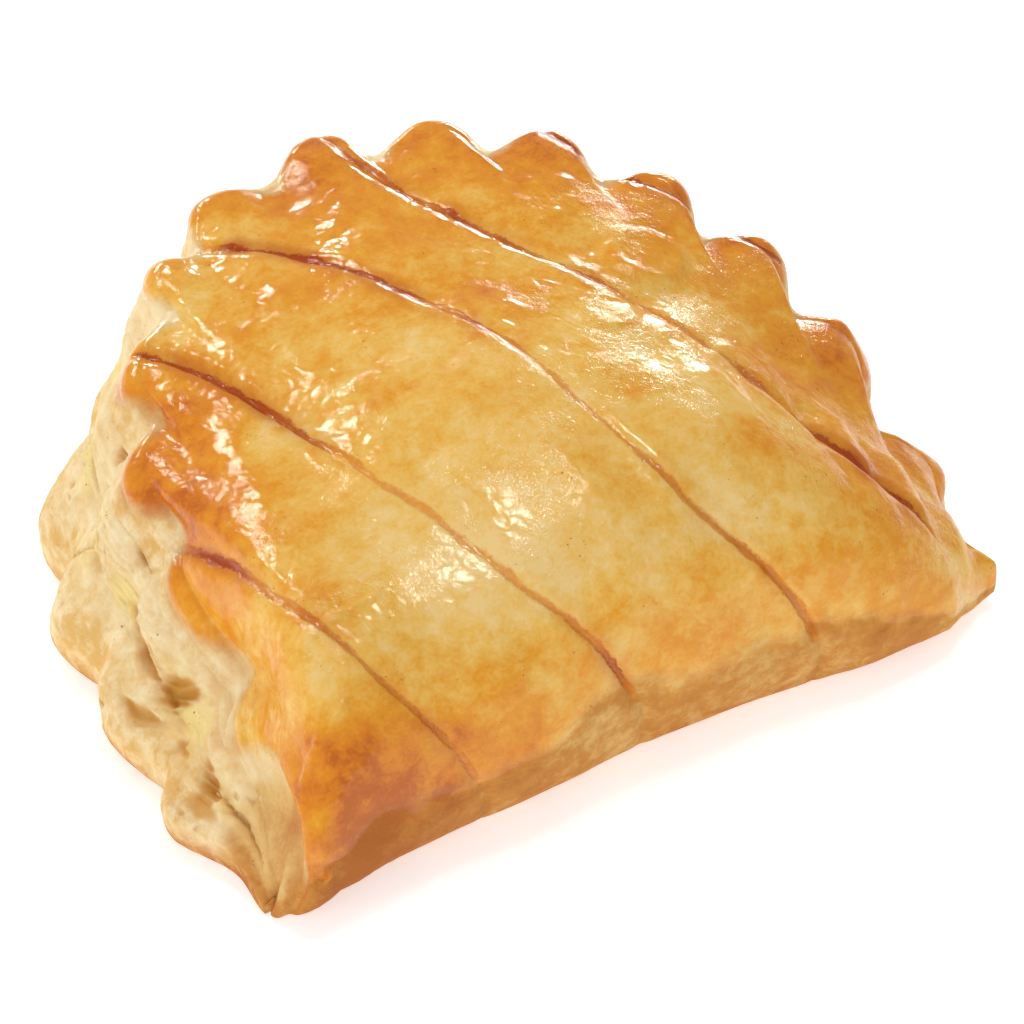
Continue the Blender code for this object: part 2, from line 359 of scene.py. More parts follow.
class Sections:
    """Cross-sections at stations s, each read by run and by place along that run."""

    def __init__(self, form, s):
        self.form, self.s = form, s
        self.edge, self.out, self.edge_length = edge_outline(form, s)
        self.fold = fold_line(form, s)
        trim = np.stack([form.corner_trim * bump(s, 1, 0.05), 0 * s], -1)
        push = -CORNER_PUSH * bump(s, 1, 0.012)[:, None]
        for move in (trim, push):
            self.edge, self.fold = self.edge + move, self.fold + move
        width = np.linalg.norm(self.edge - self.fold, axis=-1)
        self.size = np.clip(width / FULL_SIZE_FROM, 0.15, 1)[:, None]
        self.lobe = scallop(form, s, LOBE_SOFTNESS)[:, None]
        self.rim, self.crest, sheet = (
            along(profile, s)[:, None] for profile in (RIM_HEIGHT, CREST_HEIGHT, SHEET_THICKNESS)
        )
        corner = np.sqrt(1 - np.clip((s - CORNER_FROM) / (1 - CORNER_FROM), 0, 1) ** 2)[:, None]
        corner = between(CORNER_LEFT, 1, corner)
        self.rim, self.crest = self.rim * corner, self.crest * corner
        self.back = CORNER_BACK * ease(s, 0.93, 0.985)[:, None] * np.array([1.0, 0.0])
        self.rim_lobe = scallop(form, s, RIM_SOFTNESS)[:, None] * along(RIM_LOBES, s)[:, None]
        self.lean = along(WALL_LEAN, s)[:, None] * self.size
        self.steep = ease(s, *STEEP_FALL)[:, None]
        self.radius = form.shoulder * self.size * (1 + STEEP_SOFTER * self.steep)
        self.foot = np.minimum(sheet, 0.4 * self.rim)
        self.shoulder = self.edge + self.out * (self.rim_lobe - self.lean - self.radius)
        self.width = np.linalg.norm(self.shoulder - self.fold, axis=-1)
        run = (1 - CREST_AT) * self.width[:, None]
        slope = np.arctan2(2 * np.maximum(self.crest - self.rim, 0), run)
        self.tilt = self.steep * np.minimum(slope, STEEPEST)

    def point(self, run, t, inset=0):
        """Points t of the way along a run, moved in from the cut edge by inset.

        t and inset are one number, or one for each station."""
        t = np.broadcast_to(np.asarray(t, float).reshape(-1, 1), self.rim.shape)
        form, out, size = self.form, self.out, self.size
        forward = np.array([0.0, -1.0])
        quarter = t * math.pi / 2
        if run == UNDER:
            swell = form.fold_bulge * np.sin(quarter) - FOLD_TUCK * (1 - np.sin(quarter))
            height = FOLD_WIDEST_AT * self.crest * (1 - np.cos(quarter))
            plan = self.fold + forward * size * swell + self.back * height
        elif run == OVER:
            power = 2 / FOLD_ROUNDNESS
            reach, rise = np.cos(quarter) ** power, np.sin(quarter) ** power
            plan = self.fold + forward * size * form.fold_bulge * reach
            plan += (self.shoulder - self.fold) * CREST_AT * (1 - reach)
            height = self.crest * between(FOLD_WIDEST_AT, 1, rise)
            plan += self.back * height
        elif run == TOP:
            steep, across = self.steep, between(CREST_AT, 1, t)
            plan = between(self.fold, self.shoulder - out * self.rim_lobe, across)
            plan += out * self.rim_lobe * across ** (4 - 1.8 * steep)
            plan += self.back * self.crest * (1 - t**2)
            plan += out * self.radius * np.sin(self.tilt) * t**2
            fall = (1 - steep) * (0.5 + 0.5 * np.cos(math.pi * t)) + steep * (1 - t**2)
            height = between(self.rim, self.crest, fall)
            height -= self.radius * (1 - np.cos(self.tilt)) * t**2
        elif run == SHOULDER:
            turned = between(self.tilt, math.pi / 2, t)
            plan = self.shoulder + out * self.radius * np.sin(turned)
            height = self.rim - self.radius * (1 - np.cos(turned))
        elif run == WALL:
            up = 1 - t
            lobe = between(self.lobe, self.rim_lobe, up)
            lobe *= 1 - LOBES_FADE * np.sin(math.pi * up) ** 2
            plan = self.edge + out * (lobe - self.lean * up**LEAN_POWER)
            height = between(self.foot, self.rim - self.radius, up)
        elif run == NOSE:
            plan = self.edge + out * (self.lobe - NOSE_DEPTH * size * (1 - np.cos(quarter)))
            height = self.foot * (1 - np.sin(quarter))
        else:
            reach = np.minimum(HIDDEN, 0.4 * self.width[:, None])
            start = self.edge + out * (self.lobe - reach)
            plan = between(start, self.fold - forward * size * FOLD_TUCK, t)
            height = 0 * self.rim
        inset = np.asarray(inset, float).reshape(-1, 1) * size
        return np.concatenate([plan - out * inset, height], -1)


def lift_tip(form, points):
    """Raises the thin tip, which curls up clear of the tray as a pointed lip."""
    near = np.clip(1 - (form.fold_length / 2 + form.corner_trim - points[..., 0]) / TIP_LIP, 0, 1)
    points[..., 0] += TIP_BEAK * near**2
    lift = TIP_LIFT * near**1.3
    points[..., 2] = lift + points[..., 2] * (1 - lift / CREST_HEIGHT[0])


def centring(form):
    """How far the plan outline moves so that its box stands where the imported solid's does."""
    sections = Sections(form, np.linspace(0.01, 0.99, 97))
    widest = ((NOSE, 0), (UNDER, 1), (OVER, 0.1))
    rims = np.concatenate([sections.point(*place) for place in widest])
    x, y, _ = (rims.min(0) + rims.max(0)) / 2
    return np.array([(CAD_LOW.x + CAD_HIGH.x) / 2 - x, (CAD_LOW.y + CAD_HIGH.y) / 2 - y, 0])


def outward(grid):
    """Unit normals of a grid of points [station, place round the section]."""
    across = np.cross(np.roll(grid, -1, 1) - np.roll(grid, 1, 1), np.gradient(grid, axis=0))
    return across / np.maximum(np.linalg.norm(across, axis=-1, keepdims=True), 1e-12)


def score_lines(form, plan, drop):
    """Depth of the score cuts, how toasted they are, the dip beside them, and a number that is
    whole on each cut. drop is how far down the fold each point lies."""
    line = np.array([math.cos(SCORE_ANGLE), math.sin(SCORE_ANGLE)])
    across = plan[..., :2] @ np.array([-line[1], line[0]])
    across -= SCORE_LEAN * np.maximum(drop - LEAN_BELOW, 0)
    down = -(plan[..., :2] @ line)
    share = (down - SCORE_FROM) / (SCORE_TO - SCORE_FROM)
    front = 1 - ease(share, 0.15, 0.45)
    wander = 0.0005 * noise(plan, 9, 71) + 0.0002 * noise(plan, 2.5, 72)
    cut, dip, heats, places = 0, 0, 0, []
    for number, (end, offset, depth, heat) in enumerate(SCORES):
        places.append(MM * along(offset, share))
        away = np.abs(across - places[-1] + wander)
        begun = ease(down, end - 0.003, end + 0.001)
        begun *= 1 - ease(down, SCORE_STOP - 0.006, SCORE_STOP)
        away += 0.5 * np.maximum(end - down, 0)
        deep = MM * along(depth, share) * (1 + 0.3 * noise(plan, 12, 80 + number))
        heat = along(heat, share) * (0.95 + 0.45 * noise(plan, 7, 90 + number))
        wide = form.score_width * (0.6 + 0.6 * heat)
        cut += 0.62 * deep * np.exp(-((away / wide) ** 1.5))
        cut -= 0.07 * deep * bump(away, 2.6 * form.score_width, 1.2 * form.score_width)
        pillow = form.pillow * (0.12 + 0.88 * front) * np.minimum(deep / MM, 1)
        dip += pillow * bump(away, 0, form.pillow_width)
        present = begun * np.minimum(1, along(depth, share) / 0.6)
        heats += np.maximum(heat, 0.02) * present * (1 - ease(away, 0.006, 0.009))
    row = (across - wander - places[-1]) / SCORE_SPACING
    for number in range(len(places) - 1):
        far, near = places[-1 - number], places[-2 - number]
        share = (across - wander - far) / (near - far)
        row = np.where(share > 0, number + share, row)
    last = (across - wander - places[0]) / SCORE_SPACING
    row = np.where(last > 0, len(places) - 1 + last, row)
    return cut, np.clip(heats, 0, 1.2), dip, row


# ------ meshes


def loft(name, grid, fields, tip_reach=0.4):
    """A closed mesh whose sections are the rings of a sphere and whose ends are its poles.

    grid holds points [station, place, axis], and fields a number a point for each attribute."""
    stations, around = grid.shape[0] + 1, grid.shape[1]
    bm = bmesh.new()
    bmesh.ops.create_uvsphere(bm, u_segments=around, v_segments=stations, radius=1)
    mesh = bpy.data.meshes.new(name)
    bm.to_mesh(mesh)
    bm.free()
    ball = np.empty(len(mesh.vertices) * 3, np.float32)
    mesh.vertices.foreach_get("co", ball)
    ball = ball.reshape(-1, 3).astype(float)
    ball /= np.linalg.norm(ball, axis=1, keepdims=True)
    ring = np.rint(np.arccos(np.clip(ball[:, 2], -1, 1)) / math.pi * stations).astype(int)
    place = np.rint(np.arctan2(ball[:, 1], ball[:, 0]) / math.tau * around).astype(int) % around
    row = np.clip(ring - 1, 0, stations - 2)
    points = grid[row, place]
    for pole, end, next_in in ((0, 0, 1), (stations, -1, -2)):
        centre = grid[end].mean(0)
        points[ring == pole] = centre + (centre - grid[next_in].mean(0)) * tip_reach
    mesh.vertices.foreach_set("co", points.astype(np.float32).ravel())
    for field, values in fields.items():
        attribute = mesh.attributes.new(field, "FLOAT", "POINT")
        attribute.data.foreach_set("value", values[row, place].astype(np.float32))
    mesh.update()
    bm = bmesh.new()
    bm.from_mesh(mesh)
    bmesh.ops.recalc_face_normals(bm, faces=bm.faces)
    bm.to_mesh(mesh)
    bm.free()
    mesh.shade_smooth()
    return mesh


def add_object(name, data):
    made = bpy.data.objects.new(name, data)
    bpy.context.scene.collection.objects.link(made)
    return made


def add_piece(name, mesh, material):
    mesh.materials.append(material)
    piece = add_object(name, mesh)
    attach(piece, "root")
    return piece


def skin_end(s):
    """Where down the cut edge the glazed skin stops, ragged along the edge."""
    way = np.stack([s * 250 * MM, 0 * s, 0 * s], -1)
    return 0.12 + 0.05 * noise(way, 9, 5) + 0.03 * noise(way, 3, 6)


# ------ crust

CRUST_STATIONS = 330
RUN_POINTS = ((UNDER, 10), (OVER, 104), (TOP, 126), (SHOULDER, 12))
SKIN_POINTS, INNER_POINTS, BASE_POINTS = 14, 6, 8
TUCK_INSETS = (0, 0.0005, 0.0014, 0.004)  # the skin's end goes in behind the cut edge
BLISTER_COUNT, BLISTER_RADII = 150, (1.2, 4.2)
BLISTER_X, BLISTER_Y = (-0.072, 0.066), (0.0, 0.115)


def crust_ring(sections):
    """Points of every section and, for each place round it, the run it lies in."""
    end = skin_end(sections.s)
    sunk = 1 - 0.75 * ease(sections.s, 0.98, 0.995)

    def shares(count):
        return np.linspace(0, 1, count, endpoint=False)

    points = [(run, sections.point(run, t)) for run, n in RUN_POINTS for t in shares(n)]
    points += [(WALL, sections.point(WALL, t * end)) for t in shares(SKIN_POINTS)]
    for inset in TUCK_INSETS:
        tuck = sections.point(WALL, end + 0.02 * (inset > 0), inset * sunk)
        points.append((INSIDE, tuck))
    for t in np.linspace(0.2, 1, INNER_POINTS):
        points.append((INSIDE, sections.point(WALL, between(end, 1, t), HIDDEN * sunk)))
    for t in (0.25, 0.5, 0.75, 1):
        points.append((INSIDE, sections.point(NOSE, t, HIDDEN * sunk)))
    points += [(BASE, sections.point(BASE, t)) for t in shares(BASE_POINTS)]
    runs, points = zip(*points)
    return np.stack(points, 1), np.array(runs)


def blister_heights(form, plain, where):
    """Height of the small blisters, placed at random, and of the large ones."""
    rng = np.random.default_rng(4)
    ranges = (BLISTER_X, BLISTER_Y, BLISTER_RADII, (0.3, 1.0))
    x, y, radii, heights = (rng.uniform(*ends, BLISTER_COUNT) for ends in ranges)
    total = domes(plain, zip(x, y, radii * MM, form.blister * heights))
    for px, py, radius, tall in BLISTERS:
        away = distance(where, px, py) / radius * (1 + 0.25 * noise(plain, 5, 25))
        total += tall * MM * (1 - ease(away, 0.62, 1.0))
        total += 0.2 * tall * MM * bump(away, 0.7, 0.12)
    return total


def ridge_heights(plain, where):
    """Height of the raised wrinkles in millimetres."""
    total = 0
    for x0, y0, x1, y1, wide, tall in WRINKLES:
        start, run = np.array([x0, y0]) * MM, np.array([x1 - x0, y1 - y0]) * MM
        reach = np.clip(((where[..., :2] - start) @ run) / (run @ run), 0, 1)
        nearest = start + reach[..., None] * run
        away = np.linalg.norm(where[..., :2] - nearest, axis=-1)
        total += tall * bump(away + 0.0005 * noise(plain, 4, 26), 0, wide * MM)
    return total


def crust_mesh(form):
    """The crust with its relief, and the fields that its shader reads."""
    s = np.arange(1, CRUST_STATIONS - 3) / CRUST_STATIONS
    s = np.concatenate([s, CORNER_STATIONS, LAST_STATIONS])
    sections = Sections(form, s)
    grid, runs = crust_ring(sections)
    plain = grid.copy()
    shift = centring(form)
    where = plain + shift
    shown = (runs >= 0) & (runs <= WALL)
    crown = (runs >= TOP) & (runs <= WALL)
    height = plain[..., 2] / sections.crest
    ends = np.clip(np.minimum(s, 1 - s) / 0.04, 0, 1)[:, None]
    rim_gap = plain[..., :2] - sections.point(TOP, 1)[:, None, :2]
    rim_gap = np.linalg.norm(rim_gap, axis=-1)
    wave = lobe_wave(s)[:, None]

    drop = np.where(runs <= OVER, sections.crest - plain[..., 2], 0)
    cut, toast, dip, row = score_lines(form, plain, drop)
    level = np.where(runs >= TOP, ease(outward(plain)[..., 2], 0.35, 0.75), 1.0)
    cut, dip = cut * (0.3 + 0.7 * level), dip * (0.3 + 0.7 * level)
    relief = -dip - cut
    relief += form.puff * layered_noise(plain, 24, 11, 2)
    relief += 0.45 * form.puff * noise(plain, 9, 12)
    crease = (1 - wave) ** 2 * np.exp(-rim_gap / 0.006)
    back = (1 - 0.5 * ease(s, 0.6, 0.75))[:, None]
    relief -= 0.0008 * crease * back
    relief += 0.0006 * back * wave * bump(rim_gap, 0.004, 0.005)
    ridges = ridge_heights(plain, where)
    relief += ridges * MM
    relief += blister_heights(form, plain, where) * crown
    folds = 1 - np.abs(noise(plain, 2.6, 21, (1, 2.2, 1)))
    patchy = ease(noise(plain, 14, 22), -0.3, 0.5)
    relief += form.wrinkle * (folds * patchy + 0.6 * noise(plain, 1.3, 23))

    below = np.maximum(sections.rim - plain[..., 2], 0) * (runs >= SHOULDER)
    weight = shown * np.clip(plain[..., 2] / 0.003, 0, 1) * ends
    weight *= 0.25 + 0.75 * np.exp(-below / 0.0025)
    grid = plain + outward(plain) * (relief * weight)[..., None]
    grid[..., 2] = np.maximum(grid[..., 2], 0)
    lift_tip(form, grid)

    gap_mm = rim_gap / MM
    bake = 0.18 + 0.28 * np.exp(-gap_mm / 14) + 0.14 * np.exp(-gap_mm / 45)
    bake += 0.14 * ease(where[..., 1], -0.028, 0.008)
    bake -= 0.36 * ease(s, 0.8, 0.88)[:, None] * np.exp(-gap_mm / 7)
    bake += 0.16 * layered_noise(plain, 16, 41, 3)
    bake += 0.1 * np.clip(relief / 0.0012, -0.6, 0.8)
    bake -= 0.35 * ridges
    bake += 0.08 * (runs == OVER) * bump(height, 0.5, 0.25)
    uneven = 1 + 0.4 * noise(plain, 5, 43)
    # toasted and pale patches; the pale ones on the upper-left lobes partly paint the glaze's sheen
    # as paler crust
    for px, py, radius, more in TONE_AND_SHEEN_PATCHES:
        bake += more * np.exp(-((distance(where, px, py) / radius) ** 2)) * uneven
    drawn = height + 0.1 * noise(plain, 12, 51) + 0.05 * noise(plain, 4, 52)
    glaze = np.where(runs <= OVER, ease(drawn, 0.3, 0.44), 1.0) * shown
    over = np.where(runs <= TOP, -rim_gap, sections.rim - plain[..., 2])
    reach = 0.0014 * bump(s, 0.9, 0.03) - 0.0016 * bump(s, 0.95, 0.015)
    reach = -0.0008 + 0.0046 * wave + reach[:, None]
    reach = reach + 0.001 * noise(plain, 4, 53) + 0.0005 * noise(plain, 1.5, 54)
    soft = 0.0014 + 0.0012 * ease(s, 0.86, 0.9)[:, None]
    pale = ease(over - reach, -soft, 0.002)
    rough = 0.01 * noise(plain, 6, 55) + 0.006 * noise(plain, 2, 56)
    bare = ease(s[:, None] + rough, 0.942, 0.968) * (runs <= WALL)
    tanned = ease(s[:, None] + rough, 0.957, 0.971)
    pale = np.maximum(pale, bare * ease(height, 0.25, 0.75)) * (1 - 0.85 * tanned)
    pale = np.where(runs < 0, 1 - 0.85 * tanned, pale)
    glaze = glaze * (1 - 0.8 * pale) * (1 - 0.9 * bare)
    down = where[..., 0] * math.cos(SCORE_ANGLE) + where[..., 1] * math.sin(SCORE_ANGLE)
    wrinkled = 1.1 - 0.9 * ease(-down / 0.1, -0.15, 0.15)
    wrinkled += 0.6 * ease(where[..., 0], 0.02, 0.05)
    bake -= 0.3 * bare
    foot = 0.5 * (1 - ease(plain[..., 2], 0.0008, 0.0045))
    fields = {
        "wrinkled": np.clip(wrinkled, 0, 1),
        "bake": np.clip(bake, 0, 1),
        "row": row,
        "score": toast * level * (crown | (runs == OVER)) * ends * np.exp(-below / 0.0025),
        "glaze": glaze,
        "pale": pale * (runs != BASE),
        "brown": (foot + 0.2 * bare * (1 - ease(height, 0.3, 0.8))) * (runs != BASE),
        "tray": (runs == BASE) * np.ones_like(height),
    }
    return loft("crust", grid + shift, fields)


# ------ cut edge

EDGE_STATIONS = 690
OUTER, NOSE_POINTS, INNER = 116, 9, 6
FOOT_INSETS = (0.002, 0.0045, 0.0075)
PAGE = 1.25 * MM  # thickness of one of the layers that can be told apart


def edge_ring(sections):
    """Points of every section: down outside, round the nose, under the foot and up inside."""
    s, end = sections.s, skin_end(sections.s)
    places = np.linspace(0, 1, OUTER)
    sunk = 1 - ease(s, 0.95, 0.975)
    behind, under = 0.0003 * sunk, 0.0004 + 0.0006 * sunk
    rows = [(WALL, t, behind + under * ease(end - t, 0, 0.05)) for t in places]
    rows += [(NOSE, t, behind) for t in np.linspace(0, 1, NOSE_POINTS)[1:]]
    rows += [(NOSE, 1, inset) for inset in FOOT_INSETS]
    rows += [(WALL, t, HIDDEN + 0.0015) for t in np.linspace(0.97, 0, INNER)]
    points = [sections.point(*row) for row in rows]
    return np.stack(points, 1), places


def hollow_depths(way, rise, sections):
    """Depth of the hollows between layers, and how far into one each point lies."""
    rng = np.random.default_rng(11)
    rows = [*HOLLOWS]
    for _ in range(MORE_HOLLOWS):
        rows.append(rng.uniform(SMALLEST_HOLLOW, LARGEST_HOLLOW))
    tall = np.interp([row[0] for row in rows], sections.s, sections.rim[:, 0])
    depth, inside = 0, 0
    flat = np.stack([way, rise, 0 * way], -1)
    warp = 0.0007 * noise(flat, 3.5, 141) + 0.0003 * noise(flat, 1.2, 142)
    for (at, up, long, high, slope, deep), height in zip(rows, tall):
        ahead = way - at * sections.edge_length
        along_it = ahead / (long * MM)
        across_it = (rise - up * height - slope * ahead + warp) / (high * MM)
        # fuller below than above, and narrower towards its ends
        lop = np.where(across_it > 0, 0.75, 1.35)
        lop *= 1.15 - 0.45 * np.clip(np.abs(along_it), 0, 1)
        away = np.hypot(along_it, across_it / lop)
        shape = 1 - ease(away, 0.1, 1.15)
        depth = np.maximum(depth, deep * MM * shape)
        inside = np.maximum(inside, shape)
        depth -= 0.1 * deep * MM * bump(away, 1.25, 0.22)
    return depth, inside


def page_relief(flat):
    """How far each thin layer stands out, and the grooves between layers."""
    level = flat[..., 1] / PAGE
    layer = np.floor(level)
    part = level - layer

    def stand(number):
        place = np.stack([flat[..., 0], number * 7.3 * MM, 0 * number], -1)
        return noise(place, 6, 119)

    blend = ease(part, 0.72, 1.0)
    return stand(layer) * (1 - blend) + stand(layer + 1) * blend, bump(part, 0.86, 0.12)


def edge_mesh(form):
    """The cut edge with its relief, and the fields that its shader reads."""
    s = np.arange(1, EDGE_STATIONS) / EDGE_STATIONS * 0.997 + 0.0015
    s = np.append(s, LAST_STATIONS)
    sections = Sections(form, s)
    plain, places = edge_ring(sections)
    count = plain.shape[1]
    outer = (np.arange(count) < OUTER + NOSE_POINTS - 1)[None, :]
    t = np.concatenate([places, np.ones(count - len(places))])[None, :]
    way = s[:, None] * sections.edge_length + 0 * t
    tall = plain[..., 2]
    flat = np.stack([way, tall, 0 * way], -1)
    line = flat * (1, 0, 0)
    up = 1 - t

    middle = 0.52 + 0.1 * noise(line, 24, 101) + 0.05 * noise(line, 8, 102)
    opening = ease(noise(line, 13, 103), -0.25, 0.45)
    waist = bump(up, middle, 0.11) * (0.4 + 0.6 * opening)
    cleft = bump(up, middle + 0.02 * noise(flat, 3, 104), 0.035) * opening
    relief = -form.waist * 0.45 * waist - 0.001 * cleft
    relief += 0.0009 * (bump(up, 0.2, 0.18) + 0.7 * bump(up, 0.8, 0.14))
    depth, inside = hollow_depths(way, tall, sections)
    relief -= depth * sections.size

    warp = np.stack([0.0008 * noise(flat, 5, 110), 0.0016 * noise(flat, 9, 111), 0 * way], -1)
    drift = flat + warp + 0.4 * warp[..., ::-1]
    near = np.clip(1.2 * waist + 0.45 * ease(inside, 0.02, 0.5), 0, 1)
    threads = (1 - np.abs(noise(drift, 1.3, 112, (5.5, 1, 1)))) ** 3
    veins = (1 - np.abs(noise(drift + warp, 2.6, 113, (2.4, 1, 1)))) ** 4
    relief += form.leaf * near * (2.6 * threads + 2.6 * veins - 2.0)
    pages, gaps = page_relief(drift)
    paged = 0.25 + 0.75 * ease(up, 0.35, 0.6)
    relief += form.leaf * (0.35 * paged + 0.8 * near) * pages
    relief -= 0.00016 * gaps * paged
    coarse = noise(drift, 2.6, 116, (5, 1, 1))
    relief += form.leaf * (0.6 * (0.2 + 0.8 * up) + 0.7 * near) * coarse
    slit = ease(-noise(drift, 2.0, 117, (6, 1, 1)), 0.4, 0.75)
    slit = slit * ease(noise(flat, 10, 118), -0.1, 0.4) * ease(up, 0.12, 0.3)
    relief -= 0.0008 * slit
    for size, seed, most in ((6, 121, 0.0005), (2.2, 122, 0.0002), (0.9, 123, 0.00007)):
        relief += most * noise(plain, size, seed)
    pits = ease(-noise(plain, 1.4, 126), 0.5, 0.72) * ease(noise(flat, 9, 127), -0.1, 0.3)
    relief -= 0.00045 * pits

    ends = ease(np.minimum(s, 1 - s), 0.005, 0.035)[:, None]
    fade = ends * outer * ease(t, 0.02, 0.12) * np.clip(tall / 0.0025, 0, 1)
    grid = plain + outward(plain) * (relief * fade)[..., None]
    grid[..., 2] = np.maximum(grid[..., 2], 0)
    lift_tip(form, grid)

    # painted shade: the amber mask below darkens the pockets, clefts, slits, pits, sunken parts and
    # the gaps between threads and layers, partly the buttery colour of the hollows and partly the
    # shade that falls in them
    sunk = ease(-relief, 0.001, 0.003)
    hollow = 0.8 * ease(inside, 0.15, 0.8) + 0.55 * cleft + 0.55 * slit + 0.35 * sunk
    hollow += 0.5 * pits
    hollow += near * (0.45 - 0.8 * threads * threads - 0.5 * veins) * (1 - 0.5 * inside)
    hollow += 0.2 * gaps * near
    buttery = ease(noise(drift, 5, 131, (2, 1, 1)), -0.1, 0.5)
    moist = bump(up, middle + 0.08, 0.18) * buttery
    foot = tall + 0.0012 * noise(flat, 6, 132) + 0.0005 * noise(flat, 1.5, 133)
    swollen = ease(relief, 0.0004, 0.0014) * (1 - up)
    brown = 0.9 * (1 - ease(foot, 0.0006, 0.0055))
    brown += 0.45 * (1 - ease(foot, 0.004, 0.012)) * swollen
    corner = np.maximum(ease(s, 0.948, 0.984), 1 - ease(s, 0.02, 0.06))[:, None]
    corner = corner + 0.3 * noise(plain, 3, 134) * bump(corner, 0.5, 0.5)
    bake = 0.34 + 0.5 * (1 - ease(up, 0.1, 0.65)) * ease(relief, -0.0006, 0.0008)
    bake += (0.1 * ease(s, 0.74, 0.84) - 0.45 * ease(s, 0.94, 0.97))[:, None]
    fields = {
        "bake": bake,
        "pale": 1 - 0.9 * ease(corner, 0.2, 0.8),
        "hollow": np.clip(hollow, 0, 1) * outer * (1 - ease(corner, 0.1, 0.6)),
        "moist": np.clip(moist * (1 - hollow), 0, 1) * outer,
        "brown": np.clip(brown, 0, 1) * outer,
        "tray": (1 - outer) * (tall < 0.001) + 0 * tall,
    }
    return loft("cut_edge", grid + centring(form), fields, 0.0)


# ------ shaders


class Wire:
    """A shader socket that takes part in Python arithmetic by adding Math nodes."""

    def __init__(self, paint, socket):
        self.paint, self.socket = paint, socket

    def maths(self, operation, *values, clamp=False):
        settings = {"operation": operation, "use_clamp": clamp}
        return self.paint.node("ShaderNodeMath", settings, dict(enumerate(values)))

    def __add__(self, other):
        return self.maths("ADD", self, other)

    def __sub__(self, other):
        return self.maths("SUBTRACT", self, other)

    def __rsub__(self, other):
        return self.maths("SUBTRACT", other, self)

    def __mul__(self, other):
        return self.maths("MULTIPLY", self, other)

    __radd__ = __add__
    __rmul__ = __mul__

    def clamped(self):
        return self.maths("ADD", self, 0.0, clamp=True)

    def step(self, start, end):
        """0 below start and 1 above end, smooth between."""
        settings = {"interpolation_type": "SMOOTHSTEP"}
        inputs = {"Value": self, "From Min": start, "From Max": end}
        return self.paint.node("ShaderNodeMapRange", settings, inputs)


class Paint:
    """A new material and the nodes that its shader is made of."""

    def __init__(self, name):
        self.material = bpy.data.materials.new(name)
        self.material.use_nodes = True
        self.tree = self.material.node_tree
        self.shader = self.tree.nodes["Principled BSDF"]
        self.place = self.node("ShaderNodeTexCoord", output="Object")

    def node(self, kind, settings=None, inputs=None, output=0):
        """One node: its settings, then the values or links of its inputs. Returns an output."""
        made = self.tree.nodes.new(kind)
        for name, value in (settings or {}).items():
            if name == "stops":
                ramp = made.color_ramp.elements
                while len(ramp) < len(value):
                    ramp.new(1)
                for stop, (position, colour) in zip(ramp, value):
                    stop.position, stop.color = position, (*colour, 1)
            else:
                setattr(made, name, value)
        for name, value in (inputs or {}).items():
            if isinstance(value, Wire):
                self.tree.links.new(value.socket, made.inputs[name])
            else:
                made.inputs[name].default_value = value
        return Wire(self, made.outputs[output])

    def field(self, name):
        return self.node("ShaderNodeAttribute", {"attribute_name": name}, output="Fac")

    def grain(self, size, detail, distortion=0.0, stretch=None, place=None):
        """Noise from 0 to 1 whose lumps are about size millimetres across."""
        place = place or self.place
        if stretch:
            place = self.node("ShaderNodeMapping", None, {"Vector": place, "Scale": stretch})
        inputs = {"Scale": 1 / (size * MM), "Detail": detail, "Distortion": distortion}
        return self.node("ShaderNodeTexNoise", None, {"Vector": place, **inputs})

    def mix(self, factor, first, second):
        settings = {"data_type": "RGBA", "clamp_factor": True}
        first, second = (v if isinstance(v, Wire) else (*v[:3], 1) for v in (first, second))
        return self.node("ShaderNodeMix", settings, {0: factor, 6: first, 7: second}, output=2)

    def ramp(self, factor, stops):
        return self.node("ShaderNodeValToRGB", {"stops": stops}, {"Fac": factor})

    def bumps(self, height, distance, normal=None):
        """A bump of distance millimetres over the normal given."""
        inputs = {"Height": height, "Distance": distance * MM, "Strength": 1.0}
        if normal:
            inputs["Normal"] = normal
        return self.node("ShaderNodeBump", None, inputs)

    def finish(self, links=None, **constants):
        """Links what varies and sets what doesn't on the shader, and returns the material."""
        for name, wire in (links or {}).items():
            self.tree.links.new(wire.socket, self.shader.inputs[name])
        for name, value in constants.items():
            self.shader.inputs[name.replace("_", " ")].default_value = value
        return self.material


